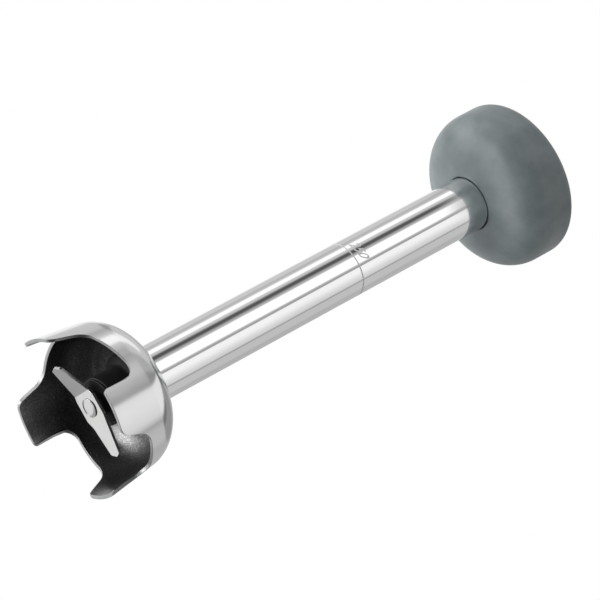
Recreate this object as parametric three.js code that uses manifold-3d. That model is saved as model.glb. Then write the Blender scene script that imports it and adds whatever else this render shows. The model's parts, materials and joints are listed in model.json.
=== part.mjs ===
// The mixing foot of a professional immersion blender: the detachable stainless leg with its
// knife, bell guard, sealed bearings, drive shaft, motor coupling and rubber boot.
// Millimetres, +Z up. The origin is on the drive axis, in the plane of the guard's four claw
// tips, so the foot stands upright on its claws with the coupling at the top.
import * as THREE from "three";
import { mergeVertices } from "three/addons/utils/BufferGeometryUtils.js";
import Module from "manifold-3d";

const wasm = await Module();
wasm.setup();

// ---------------------------------------------------------------- driving dimensions
const FIT = 0.3; // gap left between pieces that touch or fit into each other
const TAU = 2 * Math.PI;

// Tube: 40 mm outside, with the depth mark 250 mm above the claw tips.
const TUBE_RADIUS = 20;
const TUBE_WALL = 1.2;
const TUBE_BORE = TUBE_RADIUS - TUBE_WALL;
const TUBE_BOTTOM = 57;
const TUBE_TOP = 392;
const DEPTH_MARK = 250;
const MARK_WIDTH = 0.9;
const MARK_DEPTH = 0.25;

// Bell guard: a conical skirt, a rounded shoulder and a shallow conical roof, in sheet.
const SHEET = 2.5;
const MOUTH_RADIUS = 58.1;
const SKIRT_LEAN = THREE.MathUtils.degToRad(6.9);
const SKIRT_HEIGHT = 36.2;
const SHOULDER_RADIUS = 24.5;
const ROOF_LEAN = THREE.MathUtils.degToRad(75);
const BELL_NECK = TUBE_RADIUS + FIT;
const CLAWS = 4;

// One notch between two claws, seen square on: u runs round the wall, z up the drive axis.
const NOTCH = {
  leaningFoot: [-26.2, 0],
  leaningTop: [-17.2, 23],
  uprightTop: [27.1, 30.4],
  uprightFoot: [28.9, 0],
  clawRoundLeaning: 7.8,
  topRoundLeaning: 14.8,
  topRoundUpright: 9.3,
  clawRoundUpright: 3.2,
};
const LIP_HEIGHT = 2; // a short collar of the sheet stands up round the tube

// Knife: a stamped plate with two wings, one of them bent down towards the mouth.
const KNIFE_BOTTOM = 18.4;
const KNIFE_THICKNESS = 2;
const KNIFE_TURN = THREE.MathUtils.degToRad(34.5);
const KNIFE_FOLD = 11.5;
const KNIFE_BEND = THREE.MathUtils.degToRad(23);
const RIVET_HEAD_RADIUS = 6.8;
const RIVET_HEAD_HEIGHT = 1.2;
const RIVET_SHANK_RADIUS = 2.75;
const RIVET_REACH = 11; // how far the shank goes up into the shaft
const HUB_RADIUS = 9;

// Drive shaft and its two ball bearings.
const SHAFT_RADIUS = 5;
const SHAFT_BOTTOM = 25;
const SHAFT_TOP = 399.5;
const BEARING = {
  bore: 5.3,
  outer: 15,
  width: 8.6,
  pitch: 10,
  ball: 2.2,
  balls: 7,
  ringGap: 4, // the open room between the two rings, where the cage runs
  cageWall: 1.4,
  cageEdge: 1.3, // cage left above and below each ball
};
const LOWER_BEARING = 40.8;
const UPPER_BEARING = 377;
const POCKET_RADIUS = BEARING.outer + FIT;
const HOUSING_RADIUS = TUBE_BORE - FIT;
const CLIP_THICKNESS = 1.6;
const CLIP_HALF = CLIP_THICKNESS / 2;
const SHAFT_CLIP_RADIUS = 7.2;
const SHAFT_CLIP_BITE = 0.4; // depth of the clip in its groove
const SHAFT_GROOVE_DEPTH = 0.7;

// Rubber boot that covers the coupling: a mushroom-shaped cup, open to the motor.
const BOOT_RADIUS = 58.1;
const BOOT_FRONT = 372;
const BOOT_TOP = 421.9;
const BOOT_WALL = 4;
const BOOT_NECK = 24;
const BOOT_MOUTH = 50;
const BOOT_FACE_ARC = 55;
const BOOT_SHOULDER_ARC = 24;
const BOOT_RIM_ARC = 6;
const RIM_LIP = 4; // the inward lip at the mouth, and how deep the rim reaches in all
const RIM_DEPTH = 9;
const RIM_STEPS = 3;
const BOOT_SHOULDER_START = THREE.MathUtils.degToRad(34);
const BOOT_FACE_START = THREE.MathUtils.degToRad(3.4);

// Motor coupling, inside the boot.
const COLLAR_BOTTOM = 384;
const COLLAR_TOP = 388;
const COLLAR_RADIUS = 36;
const GASKET_TOP = 389.3;
const FLANGE_BOTTOM = GASKET_TOP + FIT;
const FLANGE_TOP = 397;
const FLANGE_RADIUS = 37;
const FLANGE_BORE = 16;
const LUGS = 3;
const LUG_REACH = 43;
const LUG_WIDTH = 12;
const LUG_HEIGHT = 3.6;
const LUG_MIDDLE = FLANGE_BOTTOM + 3;
const SCREWS = 4;
const SCREW_CIRCLE = 30;
const SCREW_RADIUS = 2;
const SCREW_HEAD_RADIUS = 3.4;
const SCREW_SEAT = FLANGE_TOP - 3;
const SOCKET_RADIUS = 1.7; // hexagon socket, corner to centre
const SOCKET_DEPTH = 1.5;
const DOG_RADIUS = 12;
const DOG_BOTTOM = 392.6;
const DOG_TOP = 404;
const DOG_SLOT_WIDTH = 6;
const DOG_PIN_HEIGHT = 396.4;
const DOG_PIN_RADIUS = 1.5;

// ---------------------------------------------------------------- materials
const material = (color, roughness, metalness) =>
  new THREE.MeshStandardMaterial({ color, roughness, metalness });
const polishedSteel = material(0xd9dadb, 0.12, 1);
const machinedSteel = material(0xb9bbbd, 0.35, 1);
const bearingSteel = material(0xa9acb0, 0.2, 1);
const springSteel = material(0x50545a, 0.4, 1);
const brass = material(0xb99a55, 0.35, 1);
const aluminium = material(0xc4c6c8, 0.4, 1);
const blackRubber = material(0x1b1c1d, 0.7, 0);
const greyRubber = material(0x6d7577, 0.6, 0);
const whiteNylon = material(0xe6e3da, 0.5, 0);
const blackPlastic = material(0x202224, 0.5, 0);

// ---------------------------------------------------------------- solids
const vector = ([x, y]) => new THREE.Vector2(x, y);

function solidOf(geometry) {
  const bare = geometry.clone();
  bare.deleteAttribute("normal");
  bare.deleteAttribute("uv");
  const merged = mergeVertices(bare, 1e-4);
  return new wasm.Manifold(
    new wasm.Mesh({
      numProp: 3,
      vertProperties: merged.attributes.position.array,
      triVerts: new Uint32Array(merged.index.array),
    }),
  );
}

function geometryOf(solid) {
  const mesh = solid.getMesh();
  const geometry = new THREE.BufferGeometry();
  geometry.setAttribute("position", new THREE.BufferAttribute(mesh.vertProperties, 3));
  geometry.setIndex(new THREE.BufferAttribute(mesh.triVerts, 1));
  return geometry;
}

// The first geometry with the others cut out of it.
function cut(geometry, ...tools) {
  const left = tools.reduce((solid, tool) => solid.subtract(solidOf(tool)), solidOf(geometry));
  return geometryOf(left);
}

function joined(...geometries) {
  return geometryOf(geometries.map(solidOf).reduce((all, solid) => all.add(solid)));
}

// A turned piece about the drive axis, from a profile of [radius, height] points. A profile
// that touches the axis at both ends stays open there, and any other one is closed.
function turned(profile, segments = 24) {
  const onAxis = profile[0][0] === 0 && profile[profile.length - 1][0] === 0;
  const loop = onAxis ? profile : [...profile, profile[0]];
  const points = loop.map(vector);
  if (THREE.ShapeUtils.area(points) < 0) points.reverse();
  return new THREE.LatheGeometry(points, segments).rotateX(Math.PI / 2);
}

// A plain ring or sleeve.
function ring(inner, outer, bottom, top, segments) {
  const profile = [[inner, bottom], [outer, bottom], [outer, top], [inner, top]];
  return turned(profile, segments);
}

// A plain round bar on the drive axis.
function bar(radius, bottom, top, segments = 16) {
  return turned([[0, bottom], [radius, bottom], [radius, top], [0, top]], segments);
}

// A flat plate: a closed outline in the XY plane, extruded from bottom to top.
function plate(shape, bottom, top, curveSegments) {
  const options = { depth: top - bottom, bevelEnabled: false, curveSegments };
  return new THREE.ExtrudeGeometry(shape, options).translate(0, 0, bottom);
}

// A closed outline through the corners, each one rounded by its own radius.
function roundedOutline(corners, radii) {
  const path = new THREE.Shape();
  corners.forEach((corner, i) => {
    const here = vector(corner);
    const before = vector(corners.at(i - 1)).sub(here).normalize();
    const after = vector(corners[(i + 1) % corners.length]).sub(here).normalize();
    const half = before.angleTo(after) / 2;
    const reach = radii[i] / Math.tan(half);
    const start = here.clone().addScaledVector(before, reach);
    const end = here.clone().addScaledVector(after, reach);
    if (i === 0) path.moveTo(start.x, start.y);
    else path.lineTo(start.x, start.y);
    if (radii[i] === 0) return;
    const inwards = before.clone().add(after).normalize();
    const centre = here.clone().addScaledVector(inwards, radii[i] / Math.sin(half));
    const from = start.sub(centre).angle();
    const to = end.sub(centre).angle();
    path.absarc(centre.x, centre.y, radii[i], from, to, before.cross(after) > 0);
  });
  path.closePath();
  return path;
}

// Points of an arc about [r, z], from one angle to another, both ends included.
function arc([r, z], radius, from, to, steps) {
  return Array.from({ length: steps + 1 }, (_, i) => {
    const angle = from + ((to - from) * i) / steps;
    return [r + radius * Math.cos(angle), z + radius * Math.sin(angle)];
  });
}

// The same wall's other side: every point moved a thickness to the left of its run.
function offset(profile, thickness) {
  return profile.map((point, i) => {
    const before = vector(profile[Math.max(i - 1, 0)]);
    const after = vector(profile[Math.min(i + 1, profile.length - 1)]);
    const along = after.sub(before).normalize();
    return [point[0] - along.y * thickness, point[1] + along.x * thickness];
  });
}

const root = new THREE.Group();
root.name = "mixing_foot";

function add(name, geometry, finish) {
  const mesh = new THREE.Mesh(geometry, finish);
  mesh.name = name;
  root.add(mesh);
  return mesh;
}

// ---------------------------------------------------------------- bell guard
// Outside of the bell from the mouth up to the neck, as [radius, height] points.
function bellOutside() {
  const skirtTop = MOUTH_RADIUS - SKIRT_HEIGHT * Math.tan(SKIRT_LEAN);
  const centre = [
    skirtTop - SHOULDER_RADIUS * Math.cos(SKIRT_LEAN),
    SKIRT_HEIGHT - SHOULDER_RADIUS * Math.sin(SKIRT_LEAN),
  ];
  const shoulder = arc(centre, SHOULDER_RADIUS, SKIRT_LEAN, ROOF_LEAN, 6);
  const [roofRadius, roofHeight] = shoulder.at(-1);
  const neckHeight = roofHeight + (roofRadius - BELL_NECK - SHEET) / Math.tan(ROOF_LEAN);
  return [[MOUTH_RADIUS, 0], ...shoulder, [BELL_NECK + SHEET, neckHeight]];
}

// The notch's outline as a block that reaches through the wall, turned to its place.
function notchTool(turn) {
  const below = -3;
  const past = 40;
  const nearAxis = MOUTH_RADIUS / 2;
  const outside = 1.3 * MOUTH_RADIUS;
  const corners = [
    [-past, below], [-past, 0],
    NOTCH.leaningFoot, NOTCH.leaningTop, NOTCH.uprightTop, NOTCH.uprightFoot,
    [past, 0], [past, below],
  ];
  const radii = [
    0, 0,
    NOTCH.clawRoundLeaning, NOTCH.topRoundLeaning, NOTCH.topRoundUpright, NOTCH.clawRoundUpright,
    0, 0,
  ];
  return plate(roundedOutline(corners, radii), nearAxis, outside, 3)
    .rotateX(Math.PI / 2) // stands the outline upright
    .rotateZ(Math.PI / 2) // its thickness now runs outwards along +X
    .rotateZ(turn);
}

function bellGuard() {
  const outside = bellOutside();
  const roofTop = outside.at(-1)[1];
  const inside = offset(outside.slice(0, -1), SHEET);
  inside[0][1] = 0;
  const profile = [
    ...outside,
    [BELL_NECK + SHEET, roofTop + LIP_HEIGHT],
    [BELL_NECK, roofTop + LIP_HEIGHT],
    [BELL_NECK, roofTop - SHEET],
    ...inside.reverse(),
  ];
  const tools = Array.from({ length: CLAWS }, (_, i) => notchTool((TAU * i) / CLAWS));
  return cut(turned(profile, 48), ...tools);
}
add("bell_guard", bellGuard(), polishedSteel);

// ---------------------------------------------------------------- tube
function mixingTube() {
  const markLow = DEPTH_MARK - MARK_WIDTH / 2;
  const markHigh = DEPTH_MARK + MARK_WIDTH / 2;
  return turned(
    [
      [TUBE_BORE, TUBE_BOTTOM],
      [TUBE_RADIUS, TUBE_BOTTOM],
      [TUBE_RADIUS, markLow],
      [TUBE_RADIUS - MARK_DEPTH, DEPTH_MARK],
      [TUBE_RADIUS, markHigh],
      [TUBE_RADIUS, TUBE_TOP],
      [TUBE_BORE, TUBE_TOP],
    ],
    48,
  );
}
add("mixing_tube", mixingTube(), polishedSteel);

// ---------------------------------------------------------------- knife
// Outline of one wing in the knife's own axes, from the middle's corner on the cutting side
// round the tip to the middle's corner on the back.
const KNIFE_WING = [
  [7.5, -11.5], [13, -10], [29, -6], [35.6, -4.2],
  [37, 0],
  [34.3, 5.6], [13, 8.6], [7.5, 11.5],
];
const KNIFE_WING_ROUNDS = [2, 3, 8, 1.5, 2, 2, 5, 2];

function knife() {
  const corners = [...KNIFE_WING, ...KNIFE_WING.map(([x, y]) => [-x, -y])];
  const outline = roundedOutline(corners, [...KNIFE_WING_ROUNDS, ...KNIFE_WING_ROUNDS]);
  const top = KNIFE_BOTTOM + KNIFE_THICKNESS;
  const hole = bar(RIVET_SHANK_RADIUS + FIT, KNIFE_BOTTOM - 1, top + 1);
  const reach = 60; // more than the knife's whole length
  const past = new THREE.BoxGeometry(reach, reach, reach)
    .translate(-KNIFE_FOLD - reach / 2, 0, KNIFE_BOTTOM);
  const flat = solidOf(cut(plate(outline, KNIFE_BOTTOM, top, 2), hole));
  const bentWing = geometryOf(flat.intersect(solidOf(past)))
    .translate(KNIFE_FOLD, 0, -top)
    .rotateY(-KNIFE_BEND)
    .translate(-KNIFE_FOLD, 0, top);
  return joined(geometryOf(flat.subtract(solidOf(past))), bentWing).rotateZ(KNIFE_TURN);
}
add("knife", knife(), polishedSteel);

// The rivet that holds the knife up against its hub and reaches into the shaft.
function knifeRivet() {
  const headTop = KNIFE_BOTTOM - FIT;
  const headBottom = headTop - RIVET_HEAD_HEIGHT;
  const chamfer = RIVET_HEAD_HEIGHT / 2;
  const shankTop = SHAFT_BOTTOM + RIVET_REACH;
  return turned([
    [0, headBottom],
    [RIVET_HEAD_RADIUS - chamfer, headBottom],
    [RIVET_HEAD_RADIUS, headBottom + chamfer],
    [RIVET_HEAD_RADIUS, headTop],
    [RIVET_SHANK_RADIUS, headTop],
    [RIVET_SHANK_RADIUS, shankTop],
    [0, shankTop],
  ], 20);
}
add("knife_rivet", knifeRivet(), polishedSteel);

const HUB_BOTTOM = KNIFE_BOTTOM + KNIFE_THICKNESS + FIT;
const HUB_TOP = SHAFT_BOTTOM - FIT;
const knifeHub = ring(RIVET_SHANK_RADIUS + FIT, HUB_RADIUS, HUB_BOTTOM, HUB_TOP, 20);
add("knife_hub", knifeHub, springSteel);

// ---------------------------------------------------------------- drive shaft
// A shaft groove for a circlip whose middle is at the given height, bottom edge first.
function shaftGroove(height) {
  const half = CLIP_HALF + FIT;
  const floor = SHAFT_RADIUS - SHAFT_GROOVE_DEPTH;
  return [
    [SHAFT_RADIUS, height - half], [floor, height - half],
    [floor, height + half], [SHAFT_RADIUS, height + half],
  ];
}

// A circlip sits just above each bearing's inner ring.
const clipHeight = (bearing) => bearing + BEARING.width / 2 + FIT + CLIP_HALF;

// A round bar across the drive axis, along X.
function crossBar(radius, length, height) {
  return new THREE.CylinderGeometry(radius, radius, length, 12)
    .rotateZ(Math.PI / 2)
    .translate(0, 0, height);
}

function driveShaft() {
  const rivetHole = RIVET_SHANK_RADIUS + FIT;
  const rivetHoleTop = SHAFT_BOTTOM + RIVET_REACH + 1;
  const shaft = turned([
    [0, rivetHoleTop], [rivetHole, rivetHoleTop], [rivetHole, SHAFT_BOTTOM],
    [SHAFT_RADIUS, SHAFT_BOTTOM],
    ...shaftGroove(clipHeight(LOWER_BEARING)),
    ...shaftGroove(clipHeight(UPPER_BEARING)),
    [SHAFT_RADIUS, SHAFT_TOP], [0, SHAFT_TOP],
  ], 16);
  return cut(shaft, crossBar(DOG_PIN_RADIUS + FIT, 3 * SHAFT_RADIUS, DOG_PIN_HEIGHT));
}
add("drive_shaft", driveShaft(), machinedSteel);

// ---------------------------------------------------------------- ball bearings
// Half a raceway groove round the balls, as [radius, height] points from low to high.
function raceway(height, side) {
  const groove = BEARING.ball + FIT;
  const open = THREE.MathUtils.degToRad(35);
  const middle = side > 0 ? 0 : Math.PI;
  return arc([BEARING.pitch, height], groove, middle - side * open, middle + side * open, 4);
}

function bearing(prefix, height) {
  const low = height - BEARING.width / 2;
  const high = height + BEARING.width / 2;
  const innerSide = BEARING.pitch - BEARING.ringGap / 2;
  const outerSide = BEARING.pitch + BEARING.ringGap / 2;
  const inner = [
    [BEARING.bore, low], [innerSide, low],
    ...raceway(height, -1),
    [innerSide, high], [BEARING.bore, high],
  ];
  const outer = [
    [BEARING.outer, low], [outerSide, low],
    ...raceway(height, 1),
    [outerSide, high], [BEARING.outer, high],
  ];
  add(prefix + "_bearing_inner_ring", turned(inner, 20), bearingSteel);
  add(prefix + "_bearing_outer_ring", turned(outer, 24), bearingSteel);

  const pocketRadius = BEARING.ball + FIT;
  const pocket = new THREE.CylinderGeometry(pocketRadius, pocketRadius, 3 * BEARING.cageWall, 8)
    .rotateZ(Math.PI / 2)
    .translate(BEARING.pitch, 0, height);
  const places = Array.from({ length: BEARING.balls }, (_, i) => (TAU * i) / BEARING.balls);
  const half = BEARING.ball + BEARING.cageEdge;
  const cageInner = BEARING.pitch - BEARING.cageWall / 2;
  const cageOuter = BEARING.pitch + BEARING.cageWall / 2;
  const blank = ring(cageInner, cageOuter, height - half, height + half, 3 * BEARING.balls);
  const cage = cut(blank, ...places.map((angle) => pocket.clone().rotateZ(angle)));
  add(prefix + "_bearing_cage", cage, brass);
  places.forEach((angle, i) => {
    const sphere = new THREE.IcosahedronGeometry(BEARING.ball, 1);
    const ball = add(`${prefix}_bearing_ball_${i + 1}`, sphere, bearingSteel);
    ball.position.set(BEARING.pitch * Math.cos(angle), BEARING.pitch * Math.sin(angle), height);
  });
}
bearing("lower", LOWER_BEARING);
bearing("upper", UPPER_BEARING);

// ---------------------------------------------------------------- circlips
// An open ring: its gap faces +X.
function circlip(inner, outer, height, gap) {
  const shape = new THREE.Shape();
  shape.absarc(0, 0, outer, gap / 2, TAU - gap / 2, false);
  shape.absarc(0, 0, inner, TAU - gap / 2, gap / 2, true);
  shape.closePath();
  return plate(shape, height - CLIP_HALF, height + CLIP_HALF, 9);
}
const SHAFT_CLIP_GAP = 1.2; // gaps in radians
const HOUSING_CLIP_GAP = 0.6;

for (const [prefix, height] of [["lower", LOWER_BEARING], ["upper", UPPER_BEARING]]) {
  const inner = SHAFT_RADIUS - SHAFT_CLIP_BITE;
  const clip = circlip(inner, SHAFT_CLIP_RADIUS, clipHeight(height), SHAFT_CLIP_GAP);
  add(prefix + "_shaft_circlip", clip, springSteel);
}

// ---------------------------------------------------------------- bearing housings and seals
// The groove for a housing circlip, as three sides of a notch in the pocket's wall.
const POCKET_GROOVE_DEPTH = 0.9;
function pocketGroove(from, to) {
  const floor = POCKET_RADIUS + POCKET_GROOVE_DEPTH;
  return [[POCKET_RADIUS, from], [floor, from], [floor, to], [POCKET_RADIUS, to]];
}

const LOWER_HOUSING_BOTTOM = 27.5;
const LOWER_HOUSING_TOP = 82;
const HUB_HOUSING_RADIUS = 17.5;
const HOUSING_COLLAR_RADIUS = 23.5;
const HOUSING_FLARE = { bottom: 47, top: 52 }; // the hub widens to its collar between these
const HOUSING_CHAMFER = 0.8;
const HOUSING_BORE = 8;
const lowerClip = LOWER_BEARING - BEARING.width / 2 - 2 * FIT - CLIP_HALF;
const upperClip = UPPER_BEARING + BEARING.width / 2 + 2 * FIT + CLIP_HALF;
const grooveHalf = CLIP_HALF + FIT;
const O_RING_HEIGHT = 68;
const O_RING_HALF = 1.6;
const O_RING_FLOOR = HOUSING_RADIUS - 2 * O_RING_HALF + 0.4;

function lowerHousing() {
  const collarTop = TUBE_BOTTOM - FIT;
  const shoulder = LOWER_BEARING + BEARING.width / 2 + FIT;
  return turned([
    [POCKET_RADIUS, LOWER_HOUSING_BOTTOM],
    [HUB_HOUSING_RADIUS - HOUSING_CHAMFER, LOWER_HOUSING_BOTTOM],
    [HUB_HOUSING_RADIUS, LOWER_HOUSING_BOTTOM + HOUSING_CHAMFER],
    [HUB_HOUSING_RADIUS, HOUSING_FLARE.bottom],
    [HOUSING_COLLAR_RADIUS, HOUSING_FLARE.top],
    [HOUSING_COLLAR_RADIUS, collarTop],
    [HOUSING_RADIUS, collarTop],
    [HOUSING_RADIUS, O_RING_HEIGHT - O_RING_HALF - FIT],
    [O_RING_FLOOR, O_RING_HEIGHT - O_RING_HALF - FIT],
    [O_RING_FLOOR, O_RING_HEIGHT + O_RING_HALF + FIT],
    [HOUSING_RADIUS, O_RING_HEIGHT + O_RING_HALF + FIT],
    [HOUSING_RADIUS, LOWER_HOUSING_TOP],
    [HOUSING_BORE, LOWER_HOUSING_TOP],
    [HOUSING_BORE, shoulder],
    [POCKET_RADIUS, shoulder],
    ...pocketGroove(lowerClip + grooveHalf, lowerClip - grooveHalf),
  ], 24);
}
add("lower_bearing_housing", lowerHousing(), blackPlastic);

function housingORing() {
  const inner = O_RING_FLOOR + FIT;
  const outer = TUBE_BORE - FIT;
  const sides = 8;
  const corners = arc([(inner + outer) / 2, O_RING_HEIGHT], (outer - inner) / 2, 0, TAU, sides);
  return turned(corners.slice(0, sides), 24);
}
add("housing_o_ring", housingORing(), blackRubber);

const POCKET_CLIP_INNER = 12.6;
const POCKET_CLIP_BITE = 0.6;
const pocketClip = (height) =>
  circlip(POCKET_CLIP_INNER, POCKET_RADIUS + POCKET_CLIP_BITE, height, HOUSING_CLIP_GAP);
add("lower_housing_circlip", pocketClip(lowerClip), springSteel);

// A lip seal: a body that fills the pocket, with a lip that reaches in to the shaft.
const SEAL_BODY_BORE = 9;
const SEAL_GAP = 0.1;
function lipSeal(bottom, top) {
  const lip = SHAFT_RADIUS + FIT;
  const lipSlope = 0.8;
  const middle = (bottom + top) / 2;
  return turned([
    [BEARING.outer, bottom], [BEARING.outer, top],
    [SEAL_BODY_BORE, top], [SEAL_BODY_BORE, middle],
    [lip + lipSlope, middle], [lip, middle - 1], [lip + lipSlope, bottom],
  ], 24);
}
const shaftSeal = lipSeal(LOWER_HOUSING_BOTTOM + SEAL_GAP, lowerClip - grooveHalf - SEAL_GAP);
add("shaft_seal", shaftSeal, blackRubber);

const SEAL_CAP_BOTTOM = 25.8;
const SEAL_CAP_BORE = 6.2;
const sealCap = ring(
  SEAL_CAP_BORE, HUB_HOUSING_RADIUS - 0.5,
  SEAL_CAP_BOTTOM, LOWER_HOUSING_BOTTOM - FIT, 24,
);
add("seal_cap", sealCap, blackPlastic);

const UPPER_HOUSING_BOTTOM = 352;
const UPPER_HOUSING_TOP = TUBE_TOP - 1.5; // sunk a little into the tube's end

function upperHousing() {
  const floor = UPPER_BEARING - BEARING.width / 2 - 2 * FIT;
  return turned([
    [HOUSING_BORE, UPPER_HOUSING_BOTTOM], [HOUSING_RADIUS, UPPER_HOUSING_BOTTOM],
    [HOUSING_RADIUS, UPPER_HOUSING_TOP], [POCKET_RADIUS, UPPER_HOUSING_TOP],
    ...pocketGroove(upperClip + grooveHalf, upperClip - grooveHalf),
    [POCKET_RADIUS, floor], [HOUSING_BORE, floor],
  ], 24);
}
add("upper_bearing_housing", upperHousing(), blackPlastic);
add("upper_housing_circlip", pocketClip(upperClip), springSteel);
const dustSeal = lipSeal(upperClip + grooveHalf + SEAL_GAP, UPPER_HOUSING_TOP - FIT);
add("upper_dust_seal", dustSeal, blackRubber);

// Two nylon bushes keep the long shaft from whipping inside the tube.
const BUSH_LENGTH = 12;
const GUIDE_BUSHES = { lower_guide_bush: 160, upper_guide_bush: 268 };
for (const [name, bottom] of Object.entries(GUIDE_BUSHES)) {
  const bush = ring(SHAFT_RADIUS + FIT, HOUSING_RADIUS, bottom, bottom + BUSH_LENGTH, 24);
  add(name, bush, whiteNylon);
}

// ---------------------------------------------------------------- rubber boot
// Outside of the boot from the tube to the top rim: a slightly domed face, a rounded
// shoulder, a short cylinder and a rounded rim.
function bootOutside() {
  const shoulderCentre = [BOOT_RADIUS - BOOT_SHOULDER_ARC, 0];
  const between = BOOT_FACE_ARC - BOOT_SHOULDER_ARC;
  const faceCentre = [
    shoulderCentre[0] - between * Math.sin(BOOT_SHOULDER_START),
    between * Math.cos(BOOT_SHOULDER_START),
  ];
  const leaning = (lean) => lean - Math.PI / 2;
  const start = leaning(BOOT_FACE_START);
  const turn = leaning(BOOT_SHOULDER_START);
  const face = arc(faceCentre, BOOT_FACE_ARC, start, turn, 3);
  const shoulder = arc(shoulderCentre, BOOT_SHOULDER_ARC, turn, 0, 5).slice(1);
  const lift = BOOT_FRONT - face[0][1];
  const rimCentre = [BOOT_RADIUS - BOOT_RIM_ARC, BOOT_TOP - BOOT_RIM_ARC];
  const rim = arc(rimCentre, BOOT_RIM_ARC, 0, Math.PI / 2, RIM_STEPS);
  return [...[...face, ...shoulder].map(([r, z]) => [r, z + lift]), ...rim];
}

function rubberBoot() {
  const outside = bootOutside();
  const hole = TUBE_RADIUS + FIT;
  const neckTop = COLLAR_BOTTOM - 2 * FIT;
  const inside = offset(outside.slice(1, -RIM_STEPS - 1), BOOT_WALL);
  const floor = inside[0][1] - 1;
  return turned([
    [hole, BOOT_FRONT + FIT],
    ...outside.filter(([r]) => r > hole + 0.5),
    [BOOT_MOUTH, BOOT_TOP],
    [BOOT_MOUTH, BOOT_TOP - RIM_LIP],
    [BOOT_RADIUS - BOOT_WALL, BOOT_TOP - RIM_DEPTH],
    ...inside.reverse(),
    [BOOT_NECK + 1, floor],
    [BOOT_NECK, floor + 1],
    [BOOT_NECK, neckTop],
    [hole, neckTop],
  ], 40);
}
add("rubber_boot", rubberBoot(), greyRubber);

// A band clamp round the boot's neck, with two ears pulled together by a screw and nut.
const CLAMP_BOTTOM = 379.2;
const CLAMP_TOP = 382.8;
const CLAMP_MIDDLE = (CLAMP_BOTTOM + CLAMP_TOP) / 2;
const CLAMP_INNER = BOOT_NECK + FIT;
const CLAMP_OUTER = CLAMP_INNER + 1;
const EAR_GAP = 3;
const EAR_THICKNESS = 1.2;
const EAR_LENGTH = 6;
const EAR_OUTSIDE = EAR_GAP / 2 + EAR_THICKNESS;
const EAR_SCREW_AT = 28.3;
const CLAMP_SCREW_RADIUS = 1.1;
const CLAMP_SCREW_END = 7;
const CLAMP_HEAD_RADIUS = 2;
const CLAMP_HEAD_HEIGHT = 1.8;
const CLAMP_NUT_RADIUS = 2.2; // hexagon, corner to centre

function bootClamp() {
  const height = CLAMP_TOP - CLAMP_BOTTOM;
  const band = ring(CLAMP_INNER, CLAMP_OUTER, CLAMP_BOTTOM, CLAMP_TOP, 32);
  const slit = new THREE.BoxGeometry(EAR_LENGTH, EAR_GAP, 2 * height)
    .translate(CLAMP_OUTER, 0, CLAMP_MIDDLE);
  const earMiddle = CLAMP_OUTER + EAR_LENGTH / 2 - EAR_THICKNESS / 2;
  const ears = [-1, 1].map((side) =>
    new THREE.BoxGeometry(EAR_LENGTH, EAR_THICKNESS, height)
      .translate(earMiddle, side * (EAR_GAP + EAR_THICKNESS) / 2, CLAMP_MIDDLE));
  const hole = alongY(CLAMP_SCREW_RADIUS + FIT, -2 * EAR_OUTSIDE, 2 * EAR_OUTSIDE);
  return cut(joined(cut(band, slit), ...ears), hole);
}

// A round bar beside the neck, along Y, where the clamp's screw lies.
function alongY(radius, from, to, sides = 10) {
  return new THREE.CylinderGeometry(radius, radius, to - from, sides)
    .translate(EAR_SCREW_AT, (from + to) / 2, 0)
    .translate(0, 0, CLAMP_MIDDLE);
}
add("boot_clamp", bootClamp(), machinedSteel);
const headSeat = EAR_OUTSIDE + FIT;
const headEnd = headSeat + CLAMP_HEAD_HEIGHT;
const clampShank = alongY(CLAMP_SCREW_RADIUS, -headSeat - 1, CLAMP_SCREW_END);
const clampHead = alongY(CLAMP_HEAD_RADIUS, -headEnd, -headSeat);
add("clamp_screw", joined(clampShank, clampHead), machinedSteel);
const clampNut = alongY(CLAMP_NUT_RADIUS, headSeat, headEnd, 6);
const nutBore = alongY(CLAMP_SCREW_RADIUS + FIT, 0, 2 * headEnd);
add("clamp_nut", cut(clampNut, nutBore), machinedSteel);

// ---------------------------------------------------------------- motor coupling
const screwPlaces = Array.from({ length: SCREWS }, (_, i) => (TAU * (i + 0.5)) / SCREWS);

// A bar parallel to the drive axis at each screw.
function screwBars(radius, bottom, top) {
  return screwPlaces.map((angle) =>
    bar(radius, bottom, top, 8)
      .translate(SCREW_CIRCLE, 0, 0)
      .rotateZ(angle));
}

const screwHoles = () => screwBars(SCREW_RADIUS + FIT, COLLAR_BOTTOM - 1, FLANGE_TOP + 1);

const collar = ring(TUBE_RADIUS + FIT, COLLAR_RADIUS, COLLAR_BOTTOM, COLLAR_TOP, 28);
add("tube_collar", cut(collar, ...screwHoles()), machinedSteel);

const gasket = ring(TUBE_RADIUS + FIT, COLLAR_RADIUS, COLLAR_TOP + FIT, GASKET_TOP, 28);
add("flange_gasket", cut(gasket, ...screwHoles()), blackRubber);

// The flange that the motor unit locks on to: three bayonet lugs and four sunk screws.
function couplingFlange() {
  const body = turned([
    [TUBE_RADIUS + FIT, FLANGE_BOTTOM],
    [FLANGE_RADIUS, FLANGE_BOTTOM],
    [FLANGE_RADIUS, FLANGE_TOP - 1],
    [FLANGE_RADIUS - 1, FLANGE_TOP],
    [FLANGE_BORE, FLANGE_TOP],
    [FLANGE_BORE, TUBE_TOP + FIT],
    [TUBE_RADIUS + FIT, TUBE_TOP + FIT],
  ], 40);
  const lugInner = FLANGE_RADIUS - 3;
  const lugs = Array.from({ length: LUGS }, (_, i) =>
    new THREE.BoxGeometry(LUG_REACH - lugInner, LUG_WIDTH, LUG_HEIGHT)
      .translate((LUG_REACH + lugInner) / 2, 0, LUG_MIDDLE)
      .rotateZ((TAU * i) / LUGS));
  return cut(
    joined(body, ...lugs),
    ...screwHoles(),
    ...screwBars(SCREW_HEAD_RADIUS + FIT, SCREW_SEAT, FLANGE_TOP + 1),
  );
}
add("coupling_flange", couplingFlange(), aluminium);

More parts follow.
